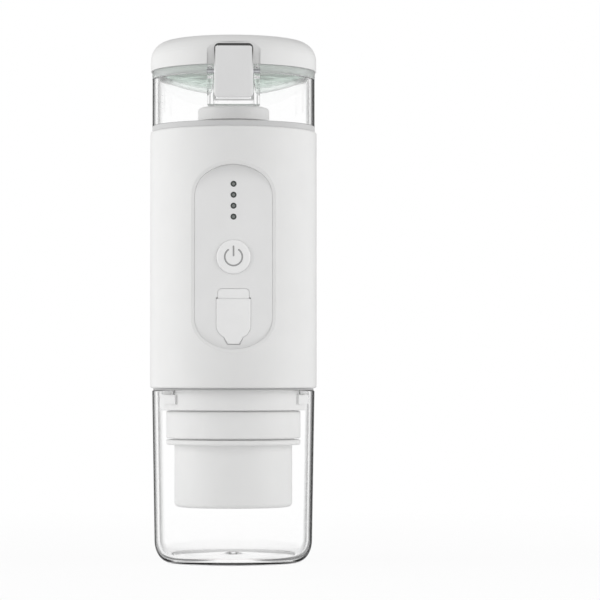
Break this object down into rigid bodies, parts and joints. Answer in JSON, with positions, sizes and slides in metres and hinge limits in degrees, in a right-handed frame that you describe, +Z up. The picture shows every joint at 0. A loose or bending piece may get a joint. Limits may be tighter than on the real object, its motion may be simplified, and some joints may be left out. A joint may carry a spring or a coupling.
{
  "type": "portable espresso maker",
  "caption": "Round portable capsule espresso maker with a clear cup as its foot, a sleeve with a flat control panel and a clear water tank under a latched, hinged lid.",
  "frame": {"origin": "centre of the cup's foot, on the surface the part stands on", "axes": "+Z up along the round body's axis; the control panel and the latch face -Y; +X to the right of someone who faces the panel"},
  "size_m": [0.07, 0.0788, 0.2204],
  "materials": {
    "white_plastic": "satin",
    "grey_plastic": "satin",
    "clear_plastic": "clear",
    "grey_silicone": "matte",
    "clear_silicone": "translucent",
    "white_silicone": "matte",
    "steel": "brushed",
    "heater_metal": "cast",
    "dark_plastic": "satin",
    "light_window": "smoked",
    "board_green": "solder mask",
    "cell_wrap": "sleeved"
  },
  "bodies": {
    "housing": {"body_shell": "white_plastic", "control_panel": "grey_plastic", "light_pipes": "light_window", "status_leds": "white_plastic", "power_switch": "dark_plastic", "charge_socket": "steel", "flap_anchor": "white_silicone", "control_board": "board_green", "board_screws": "steel", "inner_frame": "grey_plastic", "battery_cells": "cell_wrap", "cell_strips": "steel", "pump_motor": "steel", "motor_leads": "dark_plastic", "pump_head": "dark_plastic", "pump_plunger": "steel", "inlet_hose": "clear_silicone", "pressure_hose": "clear_silicone", "heater_block": "heater_metal", "top_deck": "white_plastic", "tie_screws": "steel", "tank_gasket": "grey_silicone", "inlet_cap": "white_plastic", "water_tank": "clear_plastic", "latch_pin": "steel", "lid_pin": "steel", "latch_spring": "steel", "brew_collar": "white_plastic", "shower_plate": "steel"},
    "lid": {"lid_shell": "white_plastic", "lid_liner": "clear_plastic", "lid_seal": "clear_silicone"},
    "latch": {"latch_plate": "grey_plastic"},
    "button": {"power_button": "white_plastic"},
    "flap": {"port_flap": "white_silicone"},
    "rotor": {"motor_rotor": "steel"},
    "cup_ring": {"cup_seal": "white_silicone"},
    "cup": {"cup": "clear_plastic"},
    "holder_gasket": {"holder_seal": "white_silicone"},
    "holder": {"holder_ring": "white_plastic", "holder_shell": "white_plastic", "filter_basket": "steel"}
  },
  "joints": [
    {"name": "lid_hinge", "type": "hinge", "parent": "housing", "child": "lid", "pos_m": [0, 0.0376, 0.2054], "axis": [-1, 0, 0], "range_deg": [0, 110]},
    {"name": "latch_rock", "type": "hinge", "parent": "housing", "child": "latch", "pos_m": [0, -0.0366, 0.2026], "axis": [1, 0, 0], "range_deg": [0, 8.5], "stiffness_Nm_per_rad": 0.15, "springref_deg": -5.73, "deforming": ["latch_spring"]},
    {"name": "button_press", "type": "slide", "parent": "housing", "child": "button", "axis": [0, 1, 0], "range_m": [0, 0.0008], "stiffness_N_per_m": 1800, "springref_m": -0.0003},
    {"name": "flap_hinge", "type": "hinge", "parent": "housing", "child": "flap", "pos_m": [0, -0.03006, 0.1091], "axis": [-1, 0, 0], "range_deg": [0, 110]},
    {"name": "cup_pull", "type": "slide", "parent": "housing", "child": "cup_ring", "axis": [0, 0, -1], "range_m": [0, 0.085]},
    {"name": "cup_twist", "type": "hinge", "parent": "cup_ring", "child": "cup", "pos_m": [0, 0, 0], "axis": [0, 0, -1], "range_deg": [0, 30]},
    {"name": "holder_drop", "type": "slide", "parent": "housing", "child": "holder_gasket", "axis": [0, 0, -1], "range_m": [0, 0.009]},
    {"name": "holder_unscrew", "type": "hinge", "parent": "holder_gasket", "child": "holder", "pos_m": [0, 0, 0.05], "axis": [0, 0, -1], "range_deg": [0, 360]},
    {"name": "motor_spin", "type": "hinge", "parent": "housing", "child": "rotor", "pos_m": [0, -0.0025, 0.13], "axis": [0, 0, 1], "continuous": true}
  ],
  "couplings": [
    {"joint": "holder_drop", "follows": "holder_unscrew", "m_per_rad": 0.001432}
  ]
}
